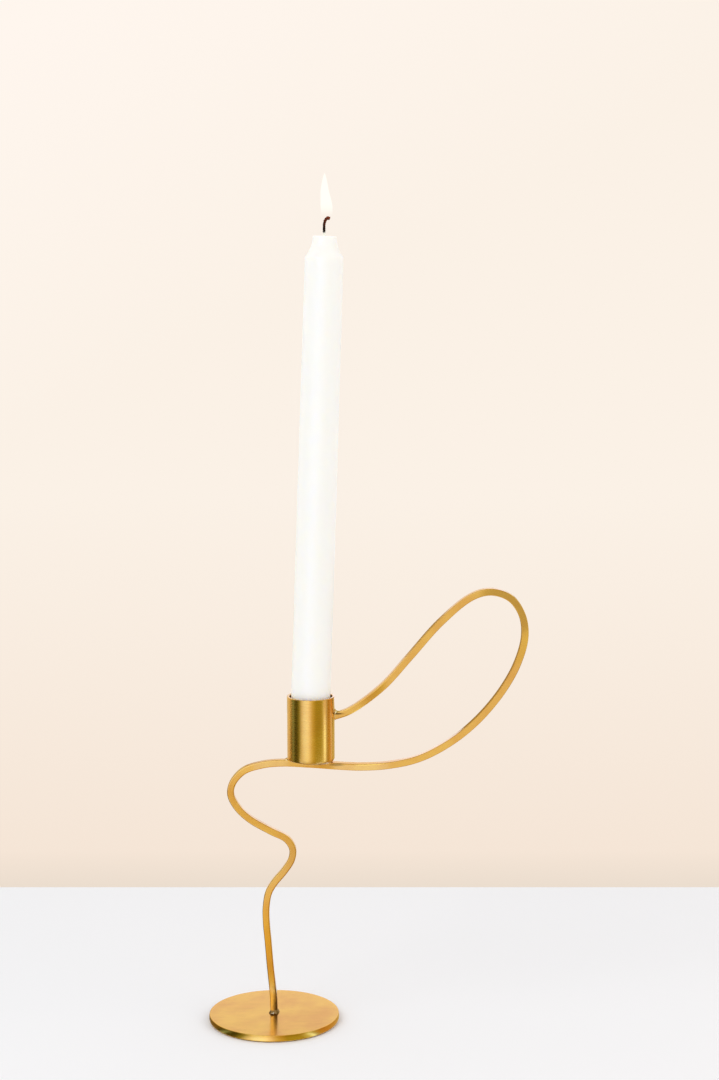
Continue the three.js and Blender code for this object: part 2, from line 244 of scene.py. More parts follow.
def brushed_brass(name, clean, warm, lacquer, roughness, stretch, anisotropy, turn=0.25,
                  along_bar=False):
    """Lacquered yellow brass, brushed. stretch gives the brushing lines' scale per metre along each
    axis: a line 0.5 mm wide is 2000 across it. Real lines are too fine to show, so these are drawn
    0.4 to 2 mm wide. A highlight is drawn out along the bar, or elsewhere round the vertical axis,
    and a turn of 0.25 puts it across that, which is across the lines. The lacquer deepens the clean
    colour to the warm one in soft patches about 20 mm across."""
    material, tree = new_material(name)
    place = add(tree, "ShaderNodeTexCoord").outputs["UV" if along_bar else "Object"]
    lines_at = add(tree, "ShaderNodeMapping", {"Vector": place, "Scale": stretch})
    lines = add(tree, "ShaderNodeTexNoise", {
        "Vector": lines_at, "Scale": 1, "Detail": 3, "Roughness": 0.6})
    patches = add(tree, "ShaderNodeTexNoise", {
        "Vector": place, "Scale": 55, "Detail": 4, "Roughness": 0.55})
    patch = add(tree, "ShaderNodeMapRange", {"Value": patches, "From Min": 0.35, "From Max": 0.68})
    tint = add(tree, "ShaderNodeMix", {"Factor": patch, "A": clean, "B": warm}, data_type="RGBA")
    rough = add(tree, "ShaderNodeMapRange", {
        "Value": lines, "From Min": 0.3, "From Max": 0.7,
        "To Min": roughness * 0.8, "To Max": roughness * 1.25})
    relief = add(tree, "ShaderNodeBump", {
        "Height": lines, "Strength": 0.13, "Distance": 0.015 * MM})
    if along_bar:
        tangent = add(tree, "ShaderNodeTangent", direction_type="UV_MAP", uv_map="UVMap")
    else:
        tangent = add(tree, "ShaderNodeTangent", direction_type="RADIAL", axis="Z")
    shader = surface(tree, "ShaderNodeBsdfPrincipled", {
        "Base Color": tint, "Metallic": 1, "Roughness": rough, "Normal": relief,
        "Anisotropic": anisotropy, "Anisotropic Rotation": turn, "Tangent": tangent,
        "Coat Weight": lacquer, "Coat Roughness": 0.14})
    return material, shader


def stain_and_shade(shader, finishes, centre, reach, depth):
    """Browns a brass material round a point and burns its lacquer off, as the torch does beside a
    brazed joint; where a call puts it on a crease or a shaded side, the brown is painted shade. reach
    is how far the brown goes along each axis, and its edge is uneven by a quarter of that, in clouds
    under 2 mm across."""
    tree = shader.id_data
    metal, coat = shader.inputs["Base Color"], shader.inputs["Coat Weight"]
    place = add(tree, "ShaderNodeTexCoord").outputs["Object"]
    offset = add(tree, "ShaderNodeVectorMath", {0: place, 1: centre}, operation="SUBTRACT")
    shares = add(tree, "ShaderNodeVectorMath", {0: offset, 1: reach}, operation="DIVIDE")
    away = add(tree, "ShaderNodeVectorMath", {0: shares}, operation="LENGTH")
    cloud = add(tree, "ShaderNodeTexNoise", {"Vector": place, "Scale": 600, "Detail": 3})
    uneven = add(tree, "ShaderNodeMath", {0: cloud, 1: 0.5, 2: away}, operation="MULTIPLY_ADD")
    mask = add(tree, "ShaderNodeMapRange", {
        "Value": uneven, "From Min": 0.5, "From Max": 1.25, "To Min": depth, "To Max": 0},
        interpolation_type="SMOOTHSTEP")
    browned = add(tree, "ShaderNodeMix", {
        "Factor": mask, "A": metal.links[0].from_socket, "B": finishes.stain_and_shade_brown},
        data_type="RGBA")
    kept = add(tree, "ShaderNodeMath", {0: 1, 1: mask}, operation="SUBTRACT")
    before = coat.links[0].from_socket if coat.is_linked else coat.default_value
    left = add(tree, "ShaderNodeMath", {0: before, 1: kept}, operation="MULTIPLY")
    tree.links.new(browned.outputs["Result"], metal)
    tree.links.new(left.outputs[0], coat)


def brazing_material(name, metal, beads):
    """Silver-brass brazing, filed and wiped: fairly bright and softly lumpy, with grey beads about
    1 mm across in it."""
    material, tree = new_material(name)
    place = add(tree, "ShaderNodeTexCoord").outputs["Object"]
    lumps = add(tree, "ShaderNodeTexNoise", {"Vector": place, "Scale": 900, "Detail": 4})
    grey = add(tree, "ShaderNodeMapRange", {"Value": lumps, "From Min": 0.58, "From Max": 0.72})
    tint = add(tree, "ShaderNodeMix", {"Factor": grey, "A": metal, "B": beads}, data_type="RGBA")
    relief = add(tree, "ShaderNodeBump", {"Height": lumps, "Strength": 0.2, "Distance": 0.06 * MM})
    surface(tree, "ShaderNodeBsdfPrincipled", {
        "Base Color": tint, "Metallic": 1, "Roughness": 0.14, "Normal": relief})
    return material


def felt_material(name, finishes):
    """Pressed wool felt: matt, with short loose fibres that catch the light at the edge. They are
    drawn 0.4 mm thick, because real ones are too fine to show."""
    material, tree = new_material(name)
    place = add(tree, "ShaderNodeTexCoord").outputs["Object"]
    fibres = add(tree, "ShaderNodeTexNoise", {"Vector": place, "Scale": 2500, "Detail": 5})
    share = add(tree, "ShaderNodeMapRange", {
        "Value": fibres, "From Min": 0.3, "From Max": 0.7, "To Min": 0.7, "To Max": 1.5})
    tint = add(tree, "ShaderNodeVectorMath", {0: finishes.felt, "Scale": share}, operation="SCALE")
    relief = add(tree, "ShaderNodeBump", {"Height": fibres, "Strength": 0.8, "Distance": 0.15 * MM})
    surface(tree, "ShaderNodeBsdfPrincipled", {
        "Base Color": tint, "Roughness": 1, "Normal": relief, "Sheen Weight": 0.3})
    return material


def wax_material(name, finishes, top, pool):
    """Dipped paraffin wax: light sinks in and spreads about 3 mm, so shadows on it stay soft. The
    skin is satin with faint ripples 6 mm wide and 33 mm long, and the melted pool round the wick
    shines."""
    material, tree = new_material(name)
    place = add(tree, "ShaderNodeTexCoord").outputs["Object"]
    ripples_at = add(tree, "ShaderNodeMapping", {"Vector": place, "Scale": (160, 160, 30)})
    ripples = add(tree, "ShaderNodeTexNoise", {"Vector": ripples_at, "Scale": 1, "Detail": 3})
    away = add(tree, "ShaderNodeVectorMath", {0: place, 1: top}, operation="DISTANCE")
    rough = add(tree, "ShaderNodeMapRange", {
        "Value": away, "From Min": pool * 0.45, "From Max": pool * 0.7,
        "To Min": 0.12, "To Max": 0.42})
    relief = add(tree, "ShaderNodeBump", {"Height": ripples, "Strength": 0.25, "Distance": 0.3 * MM})
    surface(tree, "ShaderNodeBsdfPrincipled", {
        "Base Color": finishes.wax, "Roughness": rough, "IOR": 1.44, "Normal": relief,
        "Subsurface Weight": 0.55, "Subsurface Radius": (1, 0.9, 0.7), "Subsurface Scale": 3 * MM})
    return material


def char_material(name, finishes, tip, top):
    """Burnt cotton: black and matt with a grain of 0.3 mm, turning reddish brown over the last 6 mm,
    near the flame, where the hot tip's glow is painted into its colour. Its foot is soaked with wax
    and stays pale."""
    material, tree = new_material(name)
    place = add(tree, "ShaderNodeTexCoord").outputs["Object"]
    away = add(tree, "ShaderNodeVectorMath", {0: place, 1: tip}, operation="DISTANCE")
    ember = add(tree, "ShaderNodeMapRange", {
        "Value": away, "From Min": 1 * MM, "From Max": 6 * MM, "To Min": 1, "To Max": 0})
    burnt = add(tree, "ShaderNodeMix", {
        "Factor": ember, "A": finishes.wick_char, "B": finishes.wick_ember_glow}, data_type="RGBA")
    climb = add(tree, "ShaderNodeVectorMath", {0: place, 1: top}, operation="DISTANCE")
    dry = add(tree, "ShaderNodeMapRange", {
        "Value": climb, "From Min": 1.4 * MM, "From Max": 2.4 * MM})
    tint = add(tree, "ShaderNodeMix", {
        "Factor": dry, "A": finishes.wax, "B": burnt}, data_type="RGBA")
    soot = add(tree, "ShaderNodeTexNoise", {"Vector": place, "Scale": 3500, "Detail": 3})
    relief = add(tree, "ShaderNodeBump", {"Height": soot, "Strength": 0.7, "Distance": 0.1 * MM})
    surface(tree, "ShaderNodeBsdfPrincipled", {
        "Base Color": tint, "Roughness": 0.9, "Normal": relief, "Specular IOR Level": 0.15})
    return material


def flame_material(name, finishes, low, high):
    """A candle flame: its light hides what is behind it, but its foot over the wick is clear."""
    material, tree = new_material(name)
    place = add(tree, "ShaderNodeTexCoord").outputs["Object"]
    body = add(tree, "ShaderNodeMapRange", {
        "Value": add(tree, "ShaderNodeSeparateXYZ", {0: place}).outputs["Z"],
        "From Min": between(low, high, 0.12), "From Max": between(low, high, 0.5), "To Max": 0.92},
        interpolation_type="SMOOTHSTEP")
    surface(tree, "ShaderNodeBsdfPrincipled", {
        "Base Color": (0, 0, 0), "Roughness": 1, "Specular IOR Level": 0, "Alpha": body,
        "Emission Color": finishes.flame, "Emission Strength": 1.05})
    return material


def new_object(name, data):
    """An object in the scene, at the origin."""
    made = bpy.data.objects.new(name, data)
    bpy.context.scene.collection.objects.link(made)
    return made


def mesh_piece(name, points, faces, material):
    """A smooth-shaded mesh object with one material, its place held in its mesh."""
    mesh = bpy.data.meshes.new(name)
    mesh.from_pydata([tuple(p) for p in points], [], faces)
    mesh.materials.append(material)
    mesh.shade_smooth()
    mesh.set_sharp_from_angle(angle=math.radians(35))
    mesh.validate()
    return new_object(name, mesh)


def hand_over(piece, body, node):
    """Puts the finished piece on the body that it rides on, and hides the imported node that it
    stands for.
    """
    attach(piece, body)
    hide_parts(node)


def bow(start, pull, end, steps):
    """Points on the curve from start to end that a point between them pulls towards itself."""
    shares = [i / steps for i in range(steps + 1)]
    return [start * (1 - t) ** 2 + pull * 2 * t * (1 - t) + end * t * t for t in shares]


def eased(corners):
    """An outline of (radius, height, easing) corners with each corner rounded by its easing. A point
    just past each end of a rounding keeps the flats beside it flat when they are shaded."""
    past, steps = 1.3, 5
    outline = []
    for i, (r, z, easing) in enumerate(corners):
        corner = Vector((r, z))
        if easing == 0:
            outline.append(corner)
            continue
        before = (Vector(corners[i - 1][:2]) - corner).normalized() * easing
        after = (Vector(corners[(i + 1) % len(corners)][:2]) - corner).normalized() * easing
        rounding = bow(corner + before, corner, corner + after, steps)
        outline += [corner + before * past, *rounding, corner + after * past]
    return outline


def lofted(name, rings, material, joined=False, open_rings=False, capped=False):
    """A skin over rings of as many points each, which run anticlockwise as the next ring sees them.
    A ring of one point is a pole. joined leads the last ring back to the first, open_rings leaves a
    ring's last point apart from its first, and capped closes the first and last rings."""
    width = max(len(ring) for ring in rings)
    points, rows = [], []
    for ring in rings:
        first = len(points)
        rows.append([first] * width if len(ring) == 1 else list(range(first, first + width)))
        points += ring
    faces = []
    for low, high in zip(rows, [*rows[1:], rows[0]] if joined else rows[1:]):
        for k in range(width - 1 if open_rings else width):
            n = (k + 1) % width
            face = list(dict.fromkeys((low[k], low[n], high[n], high[k])))
            if len(face) > 2:
                faces.append(face)
    if capped:
        faces += [rows[0][::-1], rows[-1]]
    return mesh_piece(name, points, faces, material)


def level_ring(x, z, radius, segments, squash=1):
    """Points round a level circle, which may be squashed from front to back, or its centre alone
    where it has no radius."""
    if radius < 1e-9:
        return [(x, 0, z)]
    angles = [2 * math.pi * k / segments for k in range(segments)]
    return [(x + radius * math.cos(a), radius * squash * math.sin(a), z) for a in angles]


def turned(name, outline, material, segments, axis_x=0, closed=True):
    """Turns an outline about a vertical axis. A closed outline makes a ring. An open one starts and
    ends on the axis. Both run so that the solid lies on their left."""
    rings = [level_ring(axis_x, z, r, segments) for r, z in outline]
    return lofted(name, rings, material, joined=closed)


def roughen(piece, amount, scale, seed):
    """Moves each point a little along its normal by a noise with lumps of 1 / scale metres."""
    shift = Vector((seed, 0.37 * seed, 0))
    normals = [vertex.normal.copy() for vertex in piece.data.vertices]
    for vertex, normal in zip(piece.data.vertices, normals):
        vertex.co += normal * (amount * noise.noise(vertex.co * scale + shift))
    piece.data.update()


def smooth_route(corners):
    """Close points on a centripetal Catmull-Rom curve through the corners."""
    route = []
    ends = [2 * corners[0] - corners[1], *corners, 2 * corners[-1] - corners[-2]]
    for p0, p1, p2, p3 in zip(ends, ends[1:], ends[2:], ends[3:]):
        d0, d1, d2 = (math.sqrt((b - a).length) for a, b in ((p0, p1), (p1, p2), (p2, p3)))
        m1 = ((p1 - p0) / d0 - (p2 - p0) / (d0 + d1) + (p2 - p1) / d1) * d1
        m2 = ((p2 - p1) / d1 - (p3 - p1) / (d1 + d2) + (p3 - p2) / d2) * d1
        for t in (i / ROUTE_STEPS for i in range(ROUTE_STEPS)):
            bend = (3 * (p2 - p1) - 2 * m1 - m2) * t ** 2 + (2 * (p1 - p2) + m1 + m2) * t ** 3
            route.append(p1 + m1 * t + bend)
    return [*route, corners[-1]]


def bar_end():
    """Where the bar's centreline meets the middle of the cup's wall."""
    x, z = BENDS[-1][0] * MM, BENDS[-1][1] * MM
    half_wall = 0.7 * MM
    end_x = CUP_AXIS.x + CUP_RADIUS - half_wall
    return Vector((end_x, 0, PLATE_HIGH.z + z - (x - end_x) * math.tan(END_SLOPE)))


def bar_route():
    """Close points along the bar's centreline, from its foot to the cup's wall."""
    corners = [Vector((x * MM, 0, PLATE_HIGH.z + z * MM)) for x, z, turn in BENDS]
    return smooth_route([*corners, bar_end()])


def bar_turns():
    """How far the bar is turned at each point of its route."""
    turns = [math.radians(turn) for x, z, turn in BENDS]
    eases = [t * t * (3 - 2 * t) for t in (i / ROUTE_STEPS for i in range(ROUTE_STEPS))]
    eased_turns = [between(a, b, ease) for a, b in zip(turns, turns[1:]) for ease in eases]
    return [*eased_turns, *[turns[-1]] * (ROUTE_STEPS + 1)]


def geometry_tree(name, sockets):
    """A Geometry Nodes tree with named inputs, and the outputs of its group input."""
    tree = bpy.data.node_groups.new(name, "GeometryNodeTree")
    for way in ("INPUT", "OUTPUT"):
        tree.interface.new_socket("Geometry", in_out=way, socket_type="NodeSocketGeometry")
    for label in sockets:
        tree.interface.new_socket(label, in_out="INPUT", socket_type="NodeSocketFloat")
    tree.interface.new_socket("Material", in_out="INPUT", socket_type="NodeSocketMaterial")
    return tree, add(tree, "NodeGroupInput").outputs


def even_line(tree, given):
    """The curve along the line that a tree is given, with its points one step apart."""
    line = add(tree, "GeometryNodeMeshToCurve", {"Mesh": given["Geometry"]})
    return add(tree, "GeometryNodeResampleCurve", {"Curve": line, "Length": given["Step"]},
               mode="LENGTH")


def finish_tree(tree, geometry, material):
    """Ends a tree: instances made real, shaded smooth, material set."""
    real = add(tree, "GeometryNodeRealizeInstances", {"Geometry": geometry})
    smooth = add(tree, "GeometryNodeSetShadeSmooth", {"Geometry": real})
    dressed = add(tree, "GeometryNodeSetMaterial", {"Geometry": smooth, "Material": material})
    add(tree, "NodeGroupOutput", {"Geometry": dressed})


def tree_piece(name, tree, route, values, turns=None):
    """Runs a tree on a line of points and keeps the result as a plain mesh object. turns are kept
    on the line's points, for a tree that reads them."""
    line = bpy.data.meshes.new(name)
    line.from_pydata([tuple(p) for p in route], [(i, i + 1) for i in range(len(route) - 1)], [])
    if turns:
        line.attributes.new("Turn", "FLOAT", "POINT").data.foreach_set("value", turns)
    piece = new_object(name, line)
    modifier = piece.modifiers.new("Shape", "NODES")
    modifier.node_group = tree
    for socket in tree.interface.items_tree:
        if socket.in_out == "INPUT" and socket.name in values:
            modifier[socket.identifier] = values[socket.name]
    graph = bpy.context.evaluated_depsgraph_get()
    made = bpy.data.meshes.new_from_object(piece.evaluated_get(graph), depsgraph=graph)
    piece.modifiers.clear()
    piece.data = made
    made.name = name
    bpy.data.meshes.remove(line)
    return piece


def bar_tree():
    """A square bar swept along the line it is given and turned as its points say, with eased edges
    and the slight waviness of hand bending. It stores how far along and how far round each corner
    lies, so that brushing lines can follow the bar."""
    tree, given = geometry_tree("Bent square bar", ("Side", "Arris", "Step", "Waviness"))
    run = add(tree, "GeometryNodeSplineParameter").outputs["Length"]
    turn = add(tree, "GeometryNodeInputNamedAttribute", {"Name": "Turn"}, data_type="FLOAT")
    tilted = add(tree, "GeometryNodeSetCurveTilt", {"Curve": even_line(tree, given), "Tilt": turn})
    along = add(tree, "GeometryNodeCaptureAttribute", {0: tilted})
    along.capture_items.new("FLOAT", "Along")
    tree.links.new(run, along.inputs[1])
    square = add(tree, "GeometryNodeCurvePrimitiveQuadrilateral", {
        "Width": given["Side"], "Height": given["Side"]})
    soft = add(tree, "GeometryNodeFilletCurve", {
        "Curve": square, "Count": 4, "Radius": given["Arris"]}, mode="POLY")
    fine = add(tree, "GeometryNodeResampleCurve", {"Curve": soft, "Length": 0.26 * MM},
               mode="LENGTH")
    around = add(tree, "GeometryNodeCaptureAttribute", {0: fine})
    around.capture_items.new("FLOAT", "Around")
    tree.links.new(run, around.inputs[1])
    bar = add(tree, "GeometryNodeCurveToMesh", {
        "Curve": along, "Profile Curve": around, "Fill Caps": True})
    place = add(tree, "ShaderNodeCombineXYZ", {0: along.outputs[1], 1: around.outputs[1]})
    mapped = add(tree, "GeometryNodeStoreNamedAttribute", {
        "Geometry": bar, "Name": "UVMap", "Value": place}, data_type="FLOAT2", domain="CORNER")
    lumps = add(tree, "ShaderNodeTexNoise", {"Scale": 70, "Detail": 1})
    centred = add(tree, "ShaderNodeMath", {0: lumps, 1: 0.5}, operation="SUBTRACT")
    depth = add(tree, "ShaderNodeMath", {0: centred, 1: given["Waviness"]}, operation="MULTIPLY")
    push = add(tree, "ShaderNodeVectorMath", {
        0: add(tree, "GeometryNodeInputNormal"), "Scale": depth}, operation="SCALE")
    wavy = add(tree, "GeometryNodeSetPosition", {"Geometry": mapped, "Offset": push})
    finish_tree(tree, wavy, given["Material"])
    return tree


def rope_tree():
    """A wick of three plies twisted together along the line it is given, swelling at its tip."""
    tree, given = geometry_tree("Braided wick", ("Diameter", "Pitch", "Step", "Swelling"))
    run = add(tree, "GeometryNodeSplineParameter").outputs
    turns = add(tree, "ShaderNodeMath", {0: run["Length"], 1: given["Pitch"]}, operation="DIVIDE")
    twist = add(tree, "ShaderNodeMath", {0: turns, 1: 2 * math.pi}, operation="MULTIPLY")
    tilted = add(tree, "GeometryNodeSetCurveTilt", {"Curve": even_line(tree, given), "Tilt": twist})
    swollen = add(tree, "ShaderNodeMapRange", {
        "Value": run["Factor"], "From Min": 0.985, "To Min": 1, "To Max": given["Swelling"]})
    fat = add(tree, "GeometryNodeSetCurveRadius", {"Curve": tilted, "Radius": swollen})
    ply_radius = add(tree, "ShaderNodeMath", {0: given["Diameter"], 1: 0.3}, operation="MULTIPLY")
    ply_reach = add(tree, "ShaderNodeMath", {0: given["Diameter"], 1: 0.23}, operation="MULTIPLY")
    ring = add(tree, "GeometryNodeCurvePrimitiveCircle", {"Resolution": 3, "Radius": ply_reach})
    ply = add(tree, "GeometryNodeCurvePrimitiveCircle", {"Resolution": 10, "Radius": ply_radius})
    plies = add(tree, "GeometryNodeInstanceOnPoints", {"Points": ring, "Instance": ply})
    section = add(tree, "GeometryNodeRealizeInstances", {"Geometry": plies})
    wick = add(tree, "GeometryNodeCurveToMesh", {
        "Curve": fat, "Profile Curve": section, "Scale": add(tree, "GeometryNodeInputRadius"),
        "Fill Caps": True})
    finish_tree(tree, wick, given["Material"])
    return tree


def bar_section(side, easing, turn=0):
    """A square with rounded corners about the bar's centreline: each point is (across, depth) with
    its outward direction, turned by an angle."""
    inset, steps = side / 2 - easing, 6
    section = []
    for k, sx, sy in ((0, 1, 1), (1, -1, 1), (2, -1, -1), (3, 1, -1)):
        for i in range(steps + 1):
            angle = (k + i / steps) * math.pi / 2
            out = Vector((math.cos(angle), math.sin(angle)))
            section.append((Vector((sx * inset, sy * inset)) + out * easing, out))
        fill = Vector((sx * inset, sy * inset)) + out * easing
        step = Vector((-out.y, out.x)) * (2 * inset / steps)
        section += [(fill + step * i, out.copy()) for i in range(1, steps)]
    spin = Matrix.Rotation(turn, 2)
    return [(spin @ point, spin @ out) for point, out in section]


def brazed_ring(name, section, to_space, onto_wall, towards, length, reach, bulge, material):
    """A ring of brazing metal between a bar and the wall that it meets. length and reach say, for
    each outward direction, how far the metal runs along the bar and over the wall. bulge is 0 for a
    hollow fillet and 1 for a rounded bead."""
    sunk = 0.12 * MM  # into the bar and the wall
    unevenness, lumps, rows = 0.45, 700, 7
    rings = []
    for point, out in section:
        corner = onto_wall(to_space(point))
        outward = (to_space(point + out) - to_space(point)).normalized()
        lump = 1 + unevenness * noise.noise(corner * lumps)
        foot = corner - towards * length(out) * lump
        toe = onto_wall(to_space(point + out * reach(out) * (2 - lump)))
        pull = corner + (foot + toe - 2 * corner) * bulge
        ring = [skin - outward * sunk * (1 - j / rows) + towards * sunk * j / rows
                for j, skin in enumerate(bow(foot, pull, toe, rows))]
        rings.append([*ring, corner - outward * 2 * sunk + towards * 2 * sunk])
    return lofted(name, rings, material, joined=True)


class StudioOperator(bpy.types.Operator):
    """Make the table, the wall, the lamps, the reflector cards and the camera"""

    bl_idname = "candle_holder.studio"
    bl_label = "Studio"

    def execute(self, context):
        studio = context.scene.candle_studio
        context.scene.view_settings.view_transform = "Standard"
        make_camera(context.scene, studio)
        make_table(studio)
        make_wall(studio)
        make_lamps(studio)
        make_surround()
        make_cards()
        make_world(context.scene, studio)
        return {"FINISHED"}


def stage_plane(name, corners, material):
    """A flat part of the studio."""
    plane = mesh_piece(name, corners, [(0, 1, 2, 3)], material)
    return plane


def make_camera(scene, studio):
    """The camera at the photo's viewpoint, looking straight ahead and a little down."""
    data = bpy.data.cameras.new("photo_camera")
    data.lens = studio.lens
    camera = new_object("photo_camera", data)
    camera.location = (studio.camera_aside, -studio.camera_back, studio.camera_height)
    camera.rotation_euler = (math.pi / 2 - studio.camera_tilt, 0, 0)
    scene.camera = camera


def background_rays(tree):
    """1 for a ray that shows the background: to the camera, off what shines, through what is clear."""
    rays = add(tree, "ShaderNodeLightPath").outputs
    shown = rays["Is Camera Ray"]
    for kind in ("Is Glossy Ray", "Is Transmission Ray"):
        shown = add(tree, "ShaderNodeMath", {0: shown, 1: rays[kind]}, operation="MAXIMUM")
    return shown


def make_table(studio):
    """Pale honed stone, plain and matt, which keeps the holder's shadow. Past the lamps' reach, from
    0.5 m off, it shows its plain colour, so that it stays as pale as it is near the holder."""
    material, tree = new_material("pale_honed_table")
    stone = add(tree, "ShaderNodeBsdfPrincipled", {
        "Base Color": studio.table, "Roughness": 0.75, "Specular IOR Level": 0})
    place = add(tree, "ShaderNodeTexCoord").outputs["Object"]
    away = add(tree, "ShaderNodeVectorMath", {0: place}, operation="LENGTH")
    seen_far = add(tree, "ShaderNodeMapRange", {
        "Value": away, "From Min": 0.5, "From Max": 1.5, "To Max": background_rays(tree)},
        interpolation_type="SMOOTHSTEP")
    pale = add(tree, "ShaderNodeEmission", {"Color": studio.table_far})
    surface(tree, "ShaderNodeMixShader", {0: seen_far, 1: stone, 2: pale})
    far = STUDIO_REACH
    stage_plane("table_top", [(-far, -far, 0), (far, -far, 0), (far, far, 0), (-far, far, 0)], material)


def make_wall(studio):
    """A cream wall behind the holder, with painted shade that darkens it towards its foot and painted
    light that makes it lightest at the top left. It is only seen, directly and in what shines: it
    neither lights nor shades the table, and its back is clear, so that the holder can be seen from
    behind."""
    material, tree = new_material("cream_painted_wall")
    place = add(tree, "ShaderNodeTexCoord").outputs["Object"]
    axes = add(tree, "ShaderNodeSeparateXYZ", {0: place}).outputs
    up_left = add(tree, "ShaderNodeMath", {0: axes["X"], 1: -0.5, 2: axes["Z"]},
                  operation="MULTIPLY_ADD")
    tint = studio.wall_bright
    shades = (  # what each darker colour follows, and where it starts to fade and is gone, in metres
        (studio.wall_high, up_left, 0.4, 0.66), (studio.wall_low, axes["Z"], 0.02, 0.27),
        (studio.wall_foot, axes["Z"], 0, 0.026),
    )
    for shade, measure, start, end in shades:
        share = add(tree, "ShaderNodeMapRange", {
            "Value": measure, "From Min": start, "From Max": end})
        tint = add(tree, "ShaderNodeMix", {"Factor": share, "A": shade, "B": tint},
                   data_type="RGBA")
    paint = add(tree, "ShaderNodeEmission", {"Color": tint})
    surface(tree, "ShaderNodeMixShader", {
        0: add(tree, "ShaderNodeNewGeometry").outputs["Backfacing"], 1: paint,
        2: add(tree, "ShaderNodeBsdfTransparent")})
    far, y = STUDIO_REACH, studio.wall_distance
    wall = stage_plane("wall", [(-far, y, 0), (far, y, 0), (far, y, far), (-far, y, far)], material)
    wall.visible_shadow = False
    wall.visible_diffuse = False


def make_lamps(studio):
    """One large lamp high at the left and a weaker, warmer one at the right, both soft, and the
    flame's own light, which only reaches the candle's crown and the wick. The brass mirrors none."""
    aim = (cad_box[0] + cad_box[1]) / 2
    in_flame = (WICK_HIGH.x - 2 * MM, 0, WICK_HIGH.z + 8 * MM)
    soft, small = {"shape": "SQUARE", "size": 1}, {"shadow_soft_size": 3 * MM}
    lamps = (
        ("key_lamp", "AREA", (-0.9, -0.9, 1.3), studio.key_power, "#fffdf8", soft),
        ("fill_lamp", "AREA", (1.2, -0.5, 0.9), studio.key_power * 0.55, "#ffeede", soft),
        ("flame_glow", "POINT", in_flame, 0.002, "#ffe9c4", small),
    )
    for name, kind, place, power, tint, shape in lamps:
        data = bpy.data.lights.new(name, kind)
        data.energy = power
        data.color = linear(tint)
        for key, value in shape.items():
            setattr(data, key, value)
        lamp = new_object(name, data)
        lamp.location = place
        lamp.rotation_euler = (aim - Vector(place)).to_track_quat("-Z", "Y").to_euler()
        lamp.visible_glossy = False


def glossy_only(card):
    """Keeps a card of the studio out of sight and out of the light: only what shines shows it."""
    card.visible_camera = False
    card.visible_diffuse = False
    card.visible_shadow = False
    card.visible_transmission = False


def graded(tree, value, stops):
    """A colour that follows a value through (value, hex colour) stops."""
    first, last = stops[0][0], stops[-1][0]
    share = add(tree, "ShaderNodeMapRange", {"Value": value, "From Min": first, "From Max": last})
    ramp = add(tree, "ShaderNodeValToRGB", {"Fac": share})
    marks = ramp.color_ramp.elements
    for at, tone in stops[1:-1]:
        marks.new((at - first) / (last - first))
    for mark, (at, tone) in zip(marks, stops):
        mark.color = (*linear(tone), 1)
    return ramp


